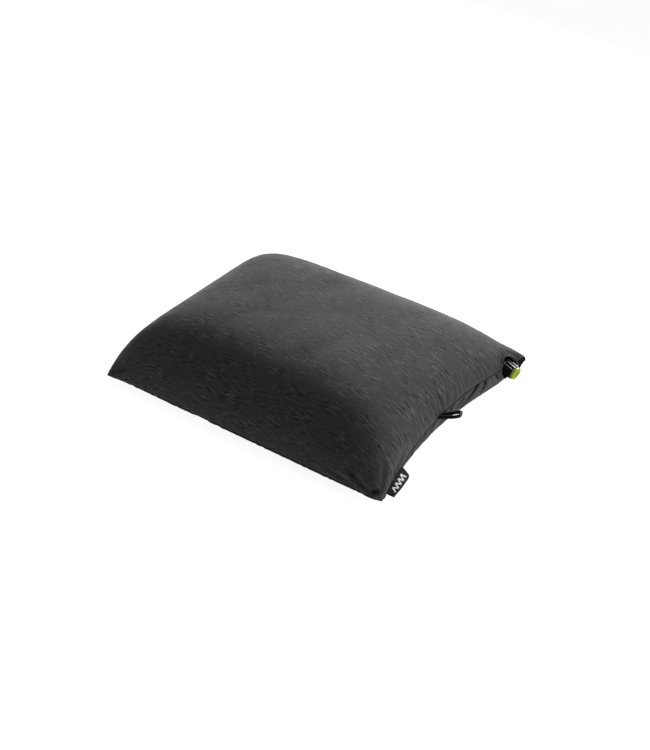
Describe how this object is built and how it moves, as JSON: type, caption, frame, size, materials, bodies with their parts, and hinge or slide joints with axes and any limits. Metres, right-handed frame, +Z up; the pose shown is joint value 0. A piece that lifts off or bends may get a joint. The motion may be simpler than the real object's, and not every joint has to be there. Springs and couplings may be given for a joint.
{
  "type": "camp pillow",
  "caption": "Inflatable rectangular camp pillow: a stretch cover over a foam topper and a baffled air cell, with a push-to-release twist valve at one corner, a cord loop and a side label.",
  "frame": {"origin": "middle of the flat underside, on the floor", "axes": "+X along the pillow to the end with the valve, +Y across it to the valve's corner, +Z up"},
  "size_m": [0.4392, 0.294, 0.101],
  "materials": {
    "jersey": "heathered brushed stretch jersey",
    "underside_cloth": "smooth woven polyester",
    "webbing": "black woven cord and tape",
    "thread": "bonded polyester thread",
    "foam": "open-cell polyurethane foam",
    "coated_fabric": "coated ripstop film",
    "black_plastic": "moulded, semi-gloss",
    "green_plastic": "moulded, semi-gloss lime",
    "seal_rubber": "satin",
    "spring_steel": "drawn wire"
  },
  "bodies": {
    "root": {"cover_top": "jersey", "underside_panel": "underside_cloth", "underside_flap": "underside_cloth", "port_binding": "webbing", "foam_topper": "foam", "cell_top_sheet": "coated_fabric", "cell_bottom_sheet": "coated_fabric", "baffle_front": "coated_fabric", "baffle_middle": "coated_fabric", "baffle_back": "coated_fabric", "valve_base": "black_plastic", "neck_seal_ring": "seal_rubber", "loop_tack": "thread", "label_tack": "thread"},
    "collar": {"twist_collar": "black_plastic"},
    "button": {"release_button": "green_plastic", "valve_stem": "black_plastic", "poppet_seal": "seal_rubber", "return_spring": "spring_steel"},
    "loop": {"cord_loop": "webbing"},
    "label": {"side_label": "webbing"}
  },
  "joints": [
    {"name": "collar_twist", "type": "hinge", "parent": "root", "child": "collar", "pos_m": [0.203, 0.121, 0.052], "axis": [0.965, -0.1014, -0.2419], "range_deg": [0, 90]},
    {"name": "button_press", "type": "slide", "parent": "collar", "child": "button", "axis": [-0.965, 0.1014, 0.2419], "range_m": [0, 0.002], "stiffness_N_per_m": 100, "deforming": ["return_spring"]},
    {"name": "loop_swing", "type": "hinge", "parent": "root", "child": "loop", "pos_m": [0.19786, -0.00882, 0.04683], "axis": [-0.3746, 0.9272, 0], "range_deg": [-45, 60], "stiffness_Nm_per_rad": 0.002},
    {"name": "label_bend", "type": "hinge", "parent": "root", "child": "label", "pos_m": [0.20853, -0.11613, 0.02309], "axis": [-0.1742, 0.9423, 0.2857], "range_deg": [-40, 60], "stiffness_Nm_per_rad": 0.0005}
  ]
}
